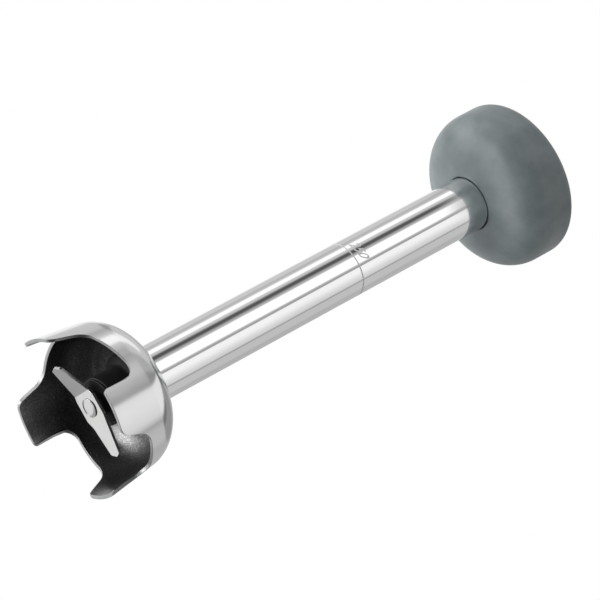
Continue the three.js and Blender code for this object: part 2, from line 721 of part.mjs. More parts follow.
function flangeScrew() {
  const end = COLLAR_BOTTOM + 0.5;
  const headBottom = SCREW_SEAT + FIT;
  const headTop = FLANGE_TOP - 0.4;
  const body = turned([
    [0, end], [SCREW_RADIUS, end], [SCREW_RADIUS, headBottom],
    [SCREW_HEAD_RADIUS, headBottom], [SCREW_HEAD_RADIUS, headTop], [0, headTop],
  ], 12);
  const socket = new THREE.CylinderGeometry(SOCKET_RADIUS, SOCKET_RADIUS, 2 * SOCKET_DEPTH, 6)
    .rotateX(Math.PI / 2)
    .translate(0, 0, headTop);
  return cut(body, socket);
}
screwPlaces.forEach((angle, i) => {
  const screw = add(`flange_screw_${i + 1}`, flangeScrew(), machinedSteel);
  screw.position.set(SCREW_CIRCLE * Math.cos(angle), SCREW_CIRCLE * Math.sin(angle), 0);
});

// The dog on the shaft's end, pinned across: the motor's tongue drops into its slot.
function driveDog() {
  const blind = SHAFT_TOP + FIT;
  const body = turned([
    [0, blind], [SHAFT_RADIUS + FIT, blind], [SHAFT_RADIUS + FIT, DOG_BOTTOM],
    [DOG_RADIUS - 1, DOG_BOTTOM], [DOG_RADIUS, DOG_BOTTOM + 1],
    [DOG_RADIUS, DOG_TOP - 1], [DOG_RADIUS - 1, DOG_TOP], [0, DOG_TOP],
  ], 24);
  const slotFloor = blind + 1.2;
  const depth = DOG_TOP - slotFloor;
  const slot = new THREE.BoxGeometry(3 * DOG_RADIUS, DOG_SLOT_WIDTH, 2 * depth)
    .translate(0, 0, DOG_TOP);
  return cut(body, slot, crossBar(DOG_PIN_RADIUS + FIT, 3 * DOG_RADIUS, DOG_PIN_HEIGHT));
}
add("drive_dog", driveDog(), machinedSteel);
add("drive_dog_pin", crossBar(DOG_PIN_RADIUS, 2 * DOG_RADIUS - 2, DOG_PIN_HEIGHT), springSteel);

export default root;
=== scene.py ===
"""Looks of the detachable mixing foot of a professional immersion blender.

Fine, rounded versions of every piece that shows stand in for their plain CAD nodes, and every
piece gets a procedural finish. Lengths are in millimetres until a mesh is made, and the frame
is the part's own: +Z up the drive axis from the claw tips, at rest.
"""

import json
import math

import bmesh
import bpy
import numpy as np
from mathutils import Matrix, Vector

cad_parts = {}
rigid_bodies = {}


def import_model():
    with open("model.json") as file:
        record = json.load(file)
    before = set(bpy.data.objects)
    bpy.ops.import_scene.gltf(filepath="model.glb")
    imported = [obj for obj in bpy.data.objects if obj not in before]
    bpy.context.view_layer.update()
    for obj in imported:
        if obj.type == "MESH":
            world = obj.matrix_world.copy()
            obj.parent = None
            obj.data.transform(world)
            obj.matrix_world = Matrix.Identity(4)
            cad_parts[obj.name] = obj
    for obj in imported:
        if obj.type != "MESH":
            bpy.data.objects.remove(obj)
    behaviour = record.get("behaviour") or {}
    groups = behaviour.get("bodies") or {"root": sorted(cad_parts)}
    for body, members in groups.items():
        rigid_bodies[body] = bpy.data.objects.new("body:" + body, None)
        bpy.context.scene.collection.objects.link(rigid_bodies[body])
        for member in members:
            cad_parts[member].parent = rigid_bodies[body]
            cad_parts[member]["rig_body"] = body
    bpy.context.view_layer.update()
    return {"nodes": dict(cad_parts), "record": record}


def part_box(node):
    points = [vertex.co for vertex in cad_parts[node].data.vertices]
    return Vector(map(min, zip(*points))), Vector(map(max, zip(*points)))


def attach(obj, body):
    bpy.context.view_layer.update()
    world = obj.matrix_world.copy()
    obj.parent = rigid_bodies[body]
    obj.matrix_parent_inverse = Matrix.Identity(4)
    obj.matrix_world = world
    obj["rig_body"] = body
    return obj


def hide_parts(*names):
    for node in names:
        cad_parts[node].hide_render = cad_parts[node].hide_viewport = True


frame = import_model()
scene = bpy.context.scene

MM = 0.001
TAU = 2 * math.pi
AROUND = 192  # facets round a large turned piece


def deg(angle):
    return math.radians(angle)


def span(node):
    """A turned CAD node's outside radius, bottom and top."""
    low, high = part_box(node)
    return high.x / MM, low.z / MM, high.z / MM


# ------------------------------------------------------------------ driving sizes
TUBE_RADIUS, TUBE_BOTTOM, TUBE_TOP = span("mixing_tube")
TUBE_WALL = 1.2
DEPTH_MARK = 250  # height of the engraved ring above the claw tips
MARK_WIDTH = 1.1
MARK_DEPTH = 0.15

SHEET = 2.5  # the bell guard's sheet
MOUTH_RADIUS = 58.1
SKIRT_LEAN = deg(6.9)
SKIRT_HEIGHT = 36.2
SHOULDER_RADIUS = 24.5
ROOF_LEAN = deg(75)
GAP = 0.3  # between pieces that are welded, pressed or screwed together
BELL_NECK = TUBE_RADIUS + GAP
LIP_RISE = 2  # the lip round the tube stands this far above the roof
CLAWS = 4
EDGE_BREAK = 0.3  # rounding along the sheet's cut edge
CLAW_TOP = 34  # above the notches, where the skirt is a whole ring

# One notch between two claws, seen square on: side, height and rounding of its four corners.
NOTCH = [(-26.2, 0, 7.8), (-17.2, 23, 14.8), (27.1, 30.4, 9.3), (28.9, 0, 3.2)]

KNIFE_TURN = deg(34.5)
KNIFE_FOLD = 11.5
KNIFE_BEND = deg(23)
KNIFE_BEND_RADIUS = 3.5
KNIFE_THICKNESS = 2
KNIFE_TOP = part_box("knife")[1].z / MM

BOOT_RADIUS, _, BOOT_TOP = span("rubber_boot")
BOOT_FRONT = 372
BOOT_WALL = 4


# ------------------------------------------------------------------ outlines
def arc(centre, radius, start, end, steps):
    """Points of an arc, both ends included."""
    angles = np.linspace(start, end, steps + 1)
    return [(centre[0] + radius * math.cos(a), centre[1] + radius * math.sin(a)) for a in angles]


def rounded(corners, steps=5, closed=True):
    """An outline through (x, y, radius) corners, each one turned by an arc of its radius."""
    points = []
    for i, (x, y, radius) in enumerate(corners):
        here = np.array([x, y], float)
        if radius == 0 or (not closed and i in (0, len(corners) - 1)):
            points.append(tuple(here))
            continue
        before = np.array(corners[i - 1][:2]) - here
        after = np.array(corners[(i + 1) % len(corners)][:2]) - here
        before /= np.linalg.norm(before)
        after /= np.linalg.norm(after)
        half = math.acos(np.clip(before @ after, -1, 1)) / 2
        middle = (before + after) / np.linalg.norm(before + after)
        centre = here + middle * radius / math.sin(half)
        start = here + before * radius / math.tan(half) - centre
        end = here + after * radius / math.tan(half) - centre
        sweep = math.pi - 2 * half
        for share in np.linspace(0, 1, steps + 1):
            from_start = math.sin((1 - share) * sweep) / math.sin(sweep)
            from_end = math.sin(share * sweep) / math.sin(sweep)
            points.append(tuple(centre + from_start * start + from_end * end))
    return points


def across(radius, count=40):
    """A circle of points, for prisms and holes."""
    return [(radius * math.cos(a), radius * math.sin(a)) for a in np.arange(count) * TAU / count]


def offset(points, distance):
    """The same run of points moved a distance to its left."""
    run = np.array(points)
    along = np.gradient(run, axis=0)
    along /= np.linalg.norm(along, axis=1)[:, None]
    return [(x - dy * distance, y + dx * distance) for (x, y), (dx, dy) in zip(run, along)]


# ------------------------------------------------------------------ pieces
def mesh_object(name, points, faces):
    """An object from points in millimetres, with doubled points merged and faces turned out."""
    mesh = bpy.data.meshes.new(name)
    mesh.from_pydata((np.array(points) * MM).tolist(), [], faces)
    build = bmesh.new()
    build.from_mesh(mesh)
    bmesh.ops.remove_doubles(build, verts=build.verts, dist=1e-7)
    bmesh.ops.recalc_face_normals(build, faces=build.faces)
    build.to_mesh(mesh)
    build.free()
    made = bpy.data.objects.new(name, mesh)
    scene.collection.objects.link(made)
    return made


def settle(piece, node, *stands_for):
    """Lets a piece ride with a CAD node's body, and hides the CAD nodes it stands for."""
    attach(piece, frame["nodes"][node]["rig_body"])
    if stands_for:
        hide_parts(*stands_for)


def add_piece(name, points, faces, node, finishes, smooth_angle=35):
    """A smooth piece that stands for a CAD node, with sharp edges above an angle."""
    piece = mesh_object(name, points, faces)
    for item in finishes:
        piece.data.materials.append(item)
    piece.data.shade_smooth()
    piece.data.set_sharp_from_angle(angle=deg(smooth_angle))
    settle(piece, node, node)
    return piece


def revolved(outline, segments=AROUND):
    """Points and faces of a closed outline of (radius, height) points turned about the axis."""
    turns = [TAU * j / segments for j in range(segments)]
    points = [(r * math.cos(t), r * math.sin(t), z) for r, z in outline for t in turns]
    faces = []
    for i, (radius, _) in enumerate(outline):
        k = (i + 1) % len(outline)
        if radius < 1e-6 and outline[k][0] < 1e-6:
            continue
        for j in range(segments):
            n = (j + 1) % segments
            faces.append((i * segments + j, k * segments + j, k * segments + n, i * segments + n))
    return points, faces


def turned(node, outline, finish, segments=AROUND, smooth_angle=35):
    """A turned piece that stands for a CAD node."""
    points, faces = revolved(outline, segments)
    return add_piece(node + "_fine", points, faces, node, [finish], smooth_angle)


def prism(outline, bottom, top):
    """Points and faces of an outline in the XY plane, extruded from bottom to top."""
    count = len(outline)
    points = [(x, y, z) for z in (bottom, top) for x, y in outline]
    sides = [(i, (i + 1) % count, count + (i + 1) % count, count + i) for i in range(count)]
    return points, [tuple(range(count))[::-1], tuple(range(count, 2 * count)), *sides]


def tool(points, faces):
    """A loose object to cut or join with."""
    return mesh_object("tool", points, faces)


def turned_tool(outline, segments=AROUND):
    return tool(*revolved(outline, segments))


def combine(piece, operation, *tools):
    """Cuts the tools out of the piece, or joins them to it, and removes the tools."""
    for other in tools:
        change = piece.modifiers.new("combine", "BOOLEAN")
        change.operation = operation
        change.solver = "EXACT"
        change.object = other
        bpy.context.view_layer.update()
        result = bpy.data.meshes.new_from_object(
            piece.evaluated_get(bpy.context.evaluated_depsgraph_get())
        )
        piece.modifiers.remove(change)
        piece.data = result
        bpy.data.objects.remove(other)


def break_edges(piece, width, segments=3):
    """Rounds every sharp edge a little, as deburring does, and keeps the flats flat."""
    for polygon in piece.data.polygons:
        polygon.use_smooth = True
    bevel = piece.modifiers.new("edges", "BEVEL")
    bevel.width = width * MM
    bevel.segments = segments
    bevel.limit_method = "ANGLE"
    bevel.angle_limit = deg(30)
    bevel.harden_normals = False
    weigh = piece.modifiers.new("flats", "WEIGHTED_NORMAL")
    weigh.keep_sharp = False


# ------------------------------------------------------------------ finishes
class Nodes:
    """Short calls to add nodes to a material's or the world's tree."""

    def __init__(self, tree):
        self.tree = tree

    def add(self, kind, *values, output=0, **settings):
        """A node with its first inputs filled in: sockets are linked, None is left alone."""
        node = self.tree.nodes.new("ShaderNode" + kind)
        for name, value in settings.items():
            setattr(node, name, value)
        for i, value in enumerate(values):
            if isinstance(value, bpy.types.NodeSocket):
                self.tree.links.new(value, node.inputs[i])
            elif value is not None:
                node.inputs[i].default_value = value
        return node.outputs[output]

    def math(self, operation, *values):
        return self.add("Math", *values, operation=operation)

    def mapped(self, value, low, high, to_low, to_high, curve="LINEAR"):
        return self.add(
            "MapRange", value, low, high, to_low, to_high, interpolation_type=curve
        )


class Finish(Nodes):
    """A material whose colour, roughness and relief vary a little, from its own textures."""

    def __init__(self, name, roughness, metallic, **sockets):
        self.material = bpy.data.materials.new(name)
        self.material.use_nodes = True
        super().__init__(self.material.node_tree)
        self.shader = self.tree.nodes["Principled BSDF"]
        self.shader.inputs["Metallic"].default_value = metallic
        self.shader.inputs["Roughness"].default_value = roughness
        for socket, value in sockets.items():
            self.shader.inputs[socket.replace("_", " ")].default_value = value
        self.place = self.add("TexCoord", output=3)
        self.relief = None

    def stretched(self, scale):
        return self.add("Mapping", self.place, None, None, scale)

    def noise(self, scale, detail=3, place=None, roughness=0.5):
        where = place or self.place
        return self.add("TexNoise", where, None, scale, detail, roughness)

    def colour(self, factor, *stops):
        """A colour ramp along (position, colour) stops into the base colour."""
        node = self.tree.nodes.new("ShaderNodeValToRGB")
        elements = node.color_ramp.elements
        while len(elements) < len(stops):
            elements.new(0.5)
        for element, (position, colour) in zip(elements, stops):
            element.position = position
            element.color = (*colour, 1)
        self.tree.links.new(factor, node.inputs[0])
        self.tree.links.new(node.outputs[0], self.shader.inputs["Base Color"])

    def vary_roughness(self, factor, low, high):
        roughness = self.mapped(factor, 0.3, 0.7, low, high)
        self.tree.links.new(roughness, self.shader.inputs["Roughness"])

    def bump(self, height, depth, strength=1.0):
        """Adds relief: height runs from 0 to 1 and stands depth millimetres proud."""
        node = self.tree.nodes.new("ShaderNodeBump")
        node.inputs["Strength"].default_value = strength
        node.inputs["Distance"].default_value = depth * MM
        self.tree.links.new(height, node.inputs["Height"])
        if self.relief:
            self.tree.links.new(self.relief, node.inputs["Normal"])
        self.relief = node.outputs[0]
        self.tree.links.new(self.relief, self.shader.inputs["Normal"])


def shades(colour, spread):
    """Two colour stops round a colour, a share darker and a share lighter."""
    return (0.3, [c * (1 - spread) for c in colour]), (0.7, [c * (1 + spread) for c in colour])


def polished_steel(name="polished_steel", grey=0.845, low=0.055, high=0.085):
    """Mirror-polished sheet: faint smudges and hair scratches along the axis."""
    made = Finish(name, low, 1)
    smudges = made.noise(35, 4)
    made.colour(smudges, *shades((grey, grey, grey * 1.006), 0.012))
    made.vary_roughness(smudges, low, high)
    scratches = made.noise(900, 2, made.stretched((1, 1, 0.05)))
    made.bump(scratches, 0.0012)
    return made.material


def edge_steel():
    """The sheet's cut edge, linished after the cut."""
    made = Finish("edge_steel", 0.4, 1)
    made.colour(made.noise(120), *shades((0.46, 0.465, 0.47), 0.04))
    made.vary_roughness(made.noise(300), 0.38, 0.46)
    made.bump(made.noise(1800, 2), 0.006)
    return made.material


def blasted_steel():
    """The inside of the bell: a coarse bright speckle for the bead-blast grain, on a dark base that is
    painted shade in the bell's hollow.
    """
    made = Finish("blasted_steel", 0.3, 1)
    speckle = made.noise(900, 5, roughness=0.75)
    # The dark greys are painted shade for the hollow of the bell; the bright speckle is the blast grain.
    made.colour(
        speckle, (0.3, (0.13, 0.13, 0.132)), (0.52, (0.23, 0.23, 0.232)), (0.7, (0.52, 0.52, 0.52))
    )
    made.vary_roughness(made.noise(60), 0.27, 0.34)
    made.bump(speckle, 0.05, 0.7)
    return made.material


def satin_steel():
    """The knife and its rivet: fine ground."""
    made = Finish("satin_steel", 0.25, 1)
    made.colour(made.noise(90), *shades((0.68, 0.68, 0.675), 0.02))
    made.vary_roughness(made.noise(220), 0.2, 0.24)
    made.bump(made.noise(1400, 3, made.stretched((0.1, 1, 1))), 0.0012)
    return made.material


def etched_steel():
    """Frosted marks on the polished tube."""
    made = Finish("etched_steel", 0.6, 0.35)
    made.colour(made.noise(2500, 2), *shades((0.72, 0.72, 0.72), 0.06))
    made.bump(made.noise(3500, 2), 0.01)
    return made.material


def machined(name, colour, low, high, pitch=0.25, depth=0.004):
    """Turned metal: fine rings about the drive axis."""
    made = Finish(name, low, 1)
    made.colour(made.noise(150), *shades(colour, 0.04))
    made.vary_roughness(made.noise(260), low, high)
    rings = made.add(
        "TexWave", made.place, TAU / 20 / (pitch * MM), 0.6, 2,
        wave_type="RINGS", rings_direction="Z", output=1,
    )
    made.bump(rings, depth, 0.7)
    made.bump(made.noise(1500, 2), 0.003)
    return made.material


def plain(name, colour, roughness, metallic=0.0, grain=1200, depth=0.02, spread=0.08, **sockets):
    """A part's even finish with slight patches and a fine grain."""
    made = Finish(name, roughness, metallic, **sockets)
    made.colour(made.noise(110), *shades(colour, spread))
    made.vary_roughness(made.noise(240), roughness * 0.88, roughness * 1.12)
    made.bump(made.noise(grain, 3), depth, 0.6)
    return made.material


def boot_rubber():
    """Soft grey elastomer with a blue-green cast, faint clouds and a fine moulded grain."""
    made = Finish("boot_rubber", 0.45, 0, Sheen_Weight=0.15, Sheen_Roughness=0.5)
    clouds = made.noise(55, 5, roughness=0.6)
    made.colour(clouds, (0.3, (0.122, 0.149, 0.154)), (0.7, (0.178, 0.21, 0.215)))
    made.vary_roughness(made.noise(130, 4), 0.38, 0.48)
    made.bump(made.noise(90, 3), 0.12, 0.35)
    made.bump(made.noise(2200, 3), 0.03, 0.5)
    return made.material


steel = polished_steel()
bell_steel = polished_steel("bell_steel", 0.78, 0.12, 0.16)
cut_edge = edge_steel()
# The bell's inside: its dark base colour is painted shade, its speckle the blast grain.
blasted_painted_shade = blasted_steel()
satin = satin_steel()
etched = etched_steel()
slot_finish = {
    "polished_steel": steel,
    "machined_steel": machined("machined_steel", (0.62, 0.625, 0.63), 0.24, 0.34),
    "bearing_steel": machined("bearing_steel", (0.66, 0.67, 0.69), 0.12, 0.2, depth=0.001),
    "spring_steel": plain("spring_steel", (0.09, 0.093, 0.1), 0.42, 0.9),
    "cage_brass": plain("cage_brass", (0.62, 0.47, 0.2), 0.36, 1.0, depth=0.01),
    "flange_aluminium": machined("flange_aluminium", (0.72, 0.725, 0.73), 0.3, 0.4, pitch=0.4),
    "housing_plastic": plain("housing_plastic", (0.022, 0.022, 0.024), 0.5, grain=900, spread=0.2),
    "bush_nylon": plain("bush_nylon", (0.74, 0.72, 0.65), 0.45, spread=0.03),
    "seal_rubber": plain("seal_rubber", (0.016, 0.016, 0.017), 0.6, spread=0.2),
    "boot_rubber": boot_rubber(),
}
slot_of = {part["node"]: part["material_slot"] for part in frame["record"]["subparts"]}


# ------------------------------------------------------------------ bell guard
def bell_outside():
    """The bell's outside above the claws, from CLAW_TOP up to the lip round the tube."""
    skirt_radius = MOUTH_RADIUS - SKIRT_HEIGHT * math.tan(SKIRT_LEAN)
    centre = (
        skirt_radius - SHOULDER_RADIUS * math.cos(SKIRT_LEAN),
        SKIRT_HEIGHT - SHOULDER_RADIUS * math.sin(SKIRT_LEAN),
    )
    shoulder = arc(centre, SHOULDER_RADIUS, SKIRT_LEAN, ROOF_LEAN, 40)
    roof_radius, roof_height = shoulder[-1]
    lip_radius = BELL_NECK + SHEET
    lip_height = roof_height + (roof_radius - lip_radius) / math.tan(ROOF_LEAN)
    return shoulder, (lip_radius, lip_height)


def skirt_radius_at(height, depth=0):
    """Radius of the skirt at a height, on the outside or that deep into the sheet."""
    return MOUTH_RADIUS - height * math.tan(SKIRT_LEAN) - depth / math.cos(SKIRT_LEAN)


RIM_STEPS = 230  # points along one quarter of the claw rim
RISE_STEPS = 26  # rows from the cut edge up to CLAW_TOP, on either side of the sheet
BREAK_STEPS = 3
RING_SPREAD = 0.38  # how far the points above the claws are evened out round the ring
RADIAL_HEIGHT = 3  # below this the cut turns from square on to pointing at the axis


def claw_rim(steps):
    """Half a claw, a notch and half a claw, seen square on: side against height."""
    side = MOUTH_RADIUS * math.sin(TAU / 2 / CLAWS)
    run = np.array(rounded([(-side, 0, 0), *NOTCH, (side, 0, 0)], 24, closed=False))
    length = np.concatenate([[0], np.cumsum(np.linalg.norm(np.diff(run, axis=0), axis=1))])
    places = (np.arange(steps) + 0.5) / steps * length[-1]
    return np.stack([np.interp(places, length, run[:, i]) for i in (0, 1)], 1)


def bell_rows():
    """Rows of points and their normals, round the whole claw rim and across the sheet."""
    run = claw_rim(RIM_STEPS)
    along = np.gradient(run, axis=0)
    along /= np.linalg.norm(along, axis=1)[:, None]
    into = np.stack([-along[:, 1], along[:, 0]], 1)
    # The notches are cut square on, and the claw tips towards the axis.
    radial = 1 - np.clip(run[:, 1] / RADIAL_HEIGHT, 0, 1) ** 2
    quarter = TAU / CLAWS
    even = (np.arange(RIM_STEPS) + 0.5) / RIM_STEPS * quarter - quarter / 2

    def around(side, height, depth):
        outer, radius = skirt_radius_at(height), skirt_radius_at(height, depth)
        return (1 - radial) * np.arcsin(side / radius) + radial * np.arcsin(side / outer)

    at_rim = around(run[:, 0], run[:, 1], 0)
    at_ring = (1 - RING_SPREAD) * at_rim + RING_SPREAD * even

    def row(angle, height, depth, facing):
        """One row in every quarter. facing mixes the sheet's face with the edge's own."""
        radius = skirt_radius_at(height, depth)
        face, edge = facing
        points, normals = [], []
        for claw in range(CLAWS):
            turn = angle + claw * quarter
            edge_turn = radial * at_rim + claw * quarter
            points.append(np.stack([radius * np.cos(turn), radius * np.sin(turn), height], 1))
            skin = np.stack([
                np.cos(turn) * math.cos(SKIRT_LEAN),
                np.sin(turn) * math.cos(SKIRT_LEAN),
                np.full(RIM_STEPS, math.sin(SKIRT_LEAN)),
            ], 1)
            rim = -np.stack([
                -np.sin(edge_turn) * into[:, 0], np.cos(edge_turn) * into[:, 0], into[:, 1]
            ], 1)
            mixed = face * skin + edge * rim
            normals.append(mixed / np.linalg.norm(mixed, axis=1)[:, None])
        return np.concatenate(points), np.concatenate(normals)

    rows = []
    # Down the inside of the claws, across the cut edge and up the outside.
    inside = run + into * EDGE_BREAK
    inner = around(inside[:, 0], inside[:, 1], SHEET)
    outer = around(inside[:, 0], inside[:, 1], 0)
    for share in np.linspace(1, 0, RISE_STEPS)[:-1]:
        height = inside[:, 1] + (CLAW_TOP - inside[:, 1]) * share
        rows.append(row(inner + (at_ring - inner) * share, height, SHEET, (-1, 0)))
    corner = np.linspace(0, TAU / 4, BREAK_STEPS + 1)
    turns = [(a, -1) for a in corner] + [(a, 1) for a in corner[::-1]]
    for angle, side in turns:
        place = run + into * EDGE_BREAK * (1 - math.sin(angle))
        sunk = EDGE_BREAK * (1 - math.cos(angle))
        depth = sunk if side > 0 else SHEET - sunk
        turn = around(place[:, 0], place[:, 1], depth)
        rows.append(row(turn, place[:, 1], depth, (side * math.cos(angle), math.sin(angle))))
    for share in np.linspace(0, 1, RISE_STEPS)[1:]:
        height = inside[:, 1] + (CLAW_TOP - inside[:, 1]) * share
        rows.append(row(outer + (at_ring - outer) * share, height, 0, (1, 0)))
    ring = np.concatenate([at_ring + claw * quarter for claw in range(CLAWS)])
    return rows, ring


def bell_guard():
    """Polished outside, an inside darkened with painted shade over its bead-blast grain, and one skin of
    points round the claws and the roof.
    """
    rows, ring = bell_rows()
    shoulder, (lip_radius, lip_height) = bell_outside()
    inner_shoulder = offset(shoulder, SHEET)
    inner_lip = lip_height - SHEET / math.sin(ROOF_LEAN) + (lip_radius - BELL_NECK) / math.tan(ROOF_LEAN)
    lip_top = lip_height + LIP_RISE
    neck = rounded([
        (*shoulder[-1], 0), (lip_radius, lip_height, 1.2), (lip_radius, lip_top, 0.5),
        (BELL_NECK, lip_top, 0.3), (BELL_NECK, inner_lip, 0.3), (*inner_shoulder[-1], 0),
    ], closed=False)[1:-1]
    start = (skirt_radius_at(CLAW_TOP), CLAW_TOP)
    between = (skirt_radius_at(CLAW_TOP + 1), CLAW_TOP + 1)
    end = (skirt_radius_at(CLAW_TOP, SHEET), CLAW_TOP)
    path = np.array([start, between, *shoulder, *neck, *inner_shoulder[::-1], end])
    steps = np.diff(path, axis=0)
    steps /= np.linalg.norm(steps, axis=1)[:, None]
    mean = steps[:-1] + steps[1:]
    mean /= np.linalg.norm(mean, axis=1)[:, None]
    for (radius, height), (dr, dz) in zip(path[1:-1], mean):
        cos, sin = np.cos(ring), np.sin(ring)
        points = np.stack([radius * cos, radius * sin, np.full(len(ring), height)], 1)
        normals = np.stack([dz * cos, dz * sin, np.full(len(ring), -dr)], 1)
        rows.append((points, normals))

    columns = len(ring)
    points = np.concatenate([p for p, _ in rows])
    normals = np.concatenate([n for _, n in rows])
    index = np.arange(len(points)).reshape(len(rows), columns)
    below, after = np.roll(index, -1, 0), np.roll(index, -1, 1)
    faces = np.stack([index, after, np.roll(after, -1, 0), below], 2).reshape(-1, 4)
    mesh = bpy.data.meshes.new("bell_guard_fine")
    mesh.from_pydata((points * MM).tolist(), [], faces.tolist())
    for finish in (bell_steel, blasted_painted_shade, cut_edge):
        mesh.materials.append(finish)
    inside, edge = 1, 2
    edge_starts = RISE_STEPS - 1
    edge_ends = edge_starts + 2 * (BREAK_STEPS + 1) - 1
    bands = np.zeros(len(rows), int)
    bands[:edge_starts] = inside
    bands[edge_starts:edge_ends] = edge
    bands[-len(inner_shoulder) - 1 :] = inside
    mesh.polygons.foreach_set("material_index", np.repeat(bands, columns))
    mesh.polygons.foreach_set("use_smooth", np.ones(len(faces), bool))
    mesh.normals_split_custom_set_from_vertices(normals.tolist())
    piece = bpy.data.objects.new("bell_guard_fine", mesh)
    scene.collection.objects.link(piece)
    settle(piece, "bell_guard", "bell_guard")


bell_guard()


# ------------------------------------------------------------------ tube and its depth mark
def mixing_tube():
    """A polished tube with a shallow engraved ring."""
    bore = TUBE_RADIUS - TUBE_WALL
    half = MARK_WIDTH / 2
    outline = rounded([
        (bore, TUBE_BOTTOM, 0), (TUBE_RADIUS, TUBE_BOTTOM, 0.3),
        (TUBE_RADIUS, DEPTH_MARK - half, 0), (TUBE_RADIUS - MARK_DEPTH, DEPTH_MARK - half / 2, 0),
        (TUBE_RADIUS - MARK_DEPTH, DEPTH_MARK + half / 2, 0), (TUBE_RADIUS, DEPTH_MARK + half, 0),
        (TUBE_RADIUS, TUBE_TOP, 0.3), (bore, TUBE_TOP, 0),
    ])
    points, faces = revolved(outline, 256)
    piece = add_piece("mixing_tube_fine", points, faces, "mixing_tube", [steel, etched], 15)
    for polygon in piece.data.polygons:
        if abs(polygon.center.z / MM - DEPTH_MARK) < half:
            polygon.material_index = 1


mixing_tube()

CAPITAL = 0.7  # a digit's height as a share of the font size
DIGIT_HEIGHT = 7
DIGIT_PROUD = 0.01
DIGIT_DEPTH = 0.04  # half of the digits' own thickness
DIGIT_FOOT = 254.2
DIGIT_MIDDLE = deg(-81)
DIGIT_SLANT = 0.55
DIGIT_SPACING = 1
DIGIT_BOLDER = 0.17


def depth_numbers():
    """The frosted number above the ring, wrapped round the tube."""
    text = bpy.data.curves.new("depth_numbers", "FONT")
    text.body = str(DEPTH_MARK)
    text.align_x = "CENTER"
    text.size = DIGIT_HEIGHT / CAPITAL
    text.space_character = DIGIT_SPACING
    text.shear = DIGIT_SLANT
    text.offset = DIGIT_BOLDER
    text.extrude = DIGIT_DEPTH
    text.resolution_u = 6
    drawn = bpy.data.objects.new("depth_numbers", text)
    scene.collection.objects.link(drawn)
    bpy.context.view_layer.update()
    mesh = bpy.data.meshes.new_from_object(drawn)
    bpy.data.objects.remove(drawn)
    build = bmesh.new()
    build.from_mesh(mesh)
    xs = [v.co.x for v in build.verts]
    for cut in np.arange(min(xs), max(xs), 0.5):
        geometry = [*build.verts, *build.edges, *build.faces]
        bmesh.ops.bisect_plane(build, geom=geometry, plane_co=(cut, 0, 0), plane_no=(1, 0, 0))
    for vertex in build.verts:
        x, y, z = vertex.co
        angle = DIGIT_MIDDLE + x / TUBE_RADIUS
        radius = TUBE_RADIUS + z - DIGIT_DEPTH + DIGIT_PROUD
        vertex.co = (radius * math.cos(angle) * MM, radius * math.sin(angle) * MM, (DIGIT_FOOT + y) * MM)
    bmesh.ops.recalc_face_normals(build, faces=build.faces)
    build.to_mesh(mesh)
    build.free()
    mesh.name = "depth_numbers"
    mesh.materials.clear()
    mesh.materials.append(etched)
    piece = bpy.data.objects.new("depth_numbers", mesh)
    scene.collection.objects.link(piece)
    settle(piece, "mixing_tube")


depth_numbers()


# ------------------------------------------------------------------ knife, rivet and hub
RIVET_HOLE = 3.05
RIVET_SHANK = 2.75
RIVET_HEAD = 1.2
SEAL_CAP_BORE = 6.2

# One wing of the knife lying flat: x, y and rounding of its corners.
KNIFE_WING = [
    (7.5, -11.5, 3), (13, -10, 5), (29, -6, 12), (35.6, -4.2, 1.5),
    (37, 0, 2), (34.3, 5.6, 2), (13, 8.6, 6), (7.5, 11.5, 3),
]


def knife():
    """A stamped plate, one wing bent down round its fold line."""
    corners = [*KNIFE_WING, *[(-x, -y, r) for x, y, r in KNIFE_WING]]
    blank = tool(*prism(rounded(corners), -KNIFE_THICKNESS, 0))
    combine(blank, "DIFFERENCE", tool(*prism(across(RIVET_HOLE, 32), -5, 5)))
    build = bmesh.new()
    build.from_mesh(blank.data)
    bpy.data.objects.remove(blank)
    start = KNIFE_FOLD - KNIFE_BEND_RADIUS * KNIFE_BEND / 2
    for share in np.linspace(0, 1, 6):
        cut = -(start + share * KNIFE_BEND_RADIUS * KNIFE_BEND) * MM
        geometry = [*build.verts, *build.edges, *build.faces]
        bmesh.ops.bisect_plane(build, geom=geometry, plane_co=(cut, 0, 0), plane_no=(1, 0, 0))
    for vertex in build.verts:
        x, y, z = vertex.co / MM
        past = -start - x
        if past > 0:
            angle = min(past / KNIFE_BEND_RADIUS, KNIFE_BEND)
            straight = past - KNIFE_BEND_RADIUS * angle
            reach = KNIFE_BEND_RADIUS + z
            x = -start - reach * math.sin(angle) - straight * math.cos(angle)
            z = reach * math.cos(angle) - KNIFE_BEND_RADIUS - straight * math.sin(angle)
        vertex.co = Vector((x, y, z + KNIFE_TOP)) * MM
    build.transform(Matrix.Rotation(KNIFE_TURN, 4, "Z"))
    mesh = bpy.data.meshes.new("knife_fine")
    build.to_mesh(mesh)
    build.free()
    mesh.materials.append(satin)
    piece = bpy.data.objects.new("knife_fine", mesh)
    scene.collection.objects.link(piece)
    settle(piece, "knife", "knife")
    break_edges(piece, 0.35)


knife()


def knife_fixings():
    """The rivet with its low domed head, the hub behind the knife and the cap over the seal."""
    head, low, high = span("knife_rivet")
    under = low + RIVET_HEAD
    turned("knife_rivet", rounded([
        (0, low, 0), (head - 1.8, low + 0.25, 9), (head, under - 0.4, 0.25), (head, under, 0.1),
        (RIVET_SHANK, under, 0.1), (RIVET_SHANK, high, 0.4), (0, high, 0),
    ]), satin, 96)
    radius, low, high = span("knife_hub")
    turned("knife_hub", rounded([
        (RIVET_HOLE, low, 0.2), (radius, low, 0.5), (radius, high, 0.5), (RIVET_HOLE, high, 0.2),
    ]), slot_finish["spring_steel"], 96)
    radius, low, high = span("seal_cap")
    turned("seal_cap", rounded([
        (SEAL_CAP_BORE, low, 0.3), (radius, low, 0.5),
        (radius, high, 0.2), (SEAL_CAP_BORE, high, 0.2),
    ]), slot_finish["housing_plastic"], 128)


knife_fixings()


